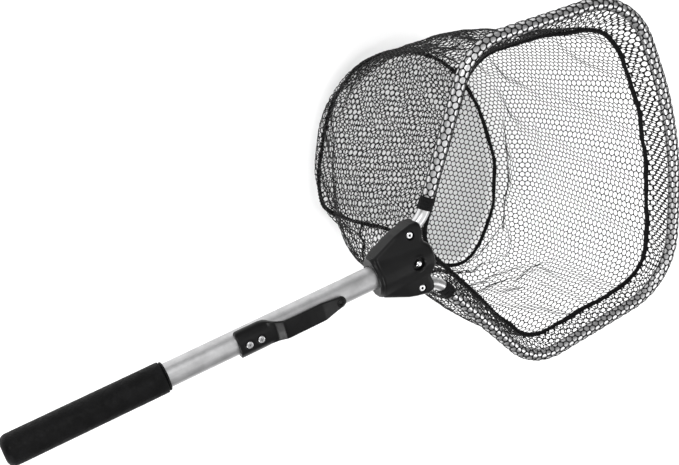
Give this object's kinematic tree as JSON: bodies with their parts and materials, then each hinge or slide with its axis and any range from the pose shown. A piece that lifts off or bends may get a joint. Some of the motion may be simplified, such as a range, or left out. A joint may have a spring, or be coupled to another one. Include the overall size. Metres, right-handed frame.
{
  "type": "landing net",
  "caption": "Short-handled landing net: rubber-gripped aluminium handle with belt clip, moulded yoke with release button, bent hoop and deep flat-bottomed mesh bag.",
  "frame": {"origin": "middle of the hand grip, on the handle's axis", "axes": "+X along the handle towards the hoop's far end, +Z square to the hoop's plane on the side the bag opens to, +Y across the hoop; the bag hangs to -Z"},
  "size_m": [0.7844, 0.4078, 0.3342],
  "materials": {
    "handle_aluminium": "satin anodised",
    "grip_rubber": "fine pebbled, matt",
    "plug_plastic": "matt",
    "clip_plastic": "satin moulded",
    "screw_steel": "bright nickel plated",
    "button_steel": "bright plated",
    "spring_steel": "rolled strip",
    "yoke_plastic": "satin moulded nylon",
    "hoop_aluminium": "bright drawn",
    "net_nylon": "knotless hexagonal netting, dark coated",
    "binding_tape": "woven tape"
  },
  "bodies": {
    "handle": {"handle_tube": "handle_aluminium", "grip_sleeve": "grip_rubber", "tube_end_plug": "plug_plastic", "clip_saddle": "clip_plastic", "clip_screws": "screw_steel", "snap_spring": "spring_steel"},
    "clip_tongue": {"clip_tongue": "clip_plastic"},
    "release_button": {"release_button": "button_steel"},
    "head": {"yoke": "yoke_plastic", "hoop_frame": "hoop_aluminium", "hoop_screws": "screw_steel", "hoop_nuts": "screw_steel", "sleeve_net": "net_nylon", "sleeve_ties": "binding_tape", "rim_binding": "binding_tape", "bag_wall_net": "net_nylon", "bag_base_net": "net_nylon", "base_binding": "binding_tape", "side_seam": "binding_tape"}
  },
  "joints": [
    {"name": "head_release", "type": "slide", "parent": "handle", "child": "head", "axis": [1, 0, 0], "range_m": [0, 0.07], "deforming": ["release_button"]},
    {"name": "button_press", "type": "slide", "parent": "handle", "child": "release_button", "axis": [0, 0, -1], "range_m": [0, 0.0057], "stiffness_N_per_m": 900, "deforming": ["snap_spring"]},
    {"name": "clip_flex", "type": "hinge", "parent": "handle", "child": "clip_tongue", "pos_m": [0.191, 0, 0.0156], "axis": [0, -1, 0], "range_deg": [0, 8], "stiffness_Nm_per_rad": 3}
  ]
}
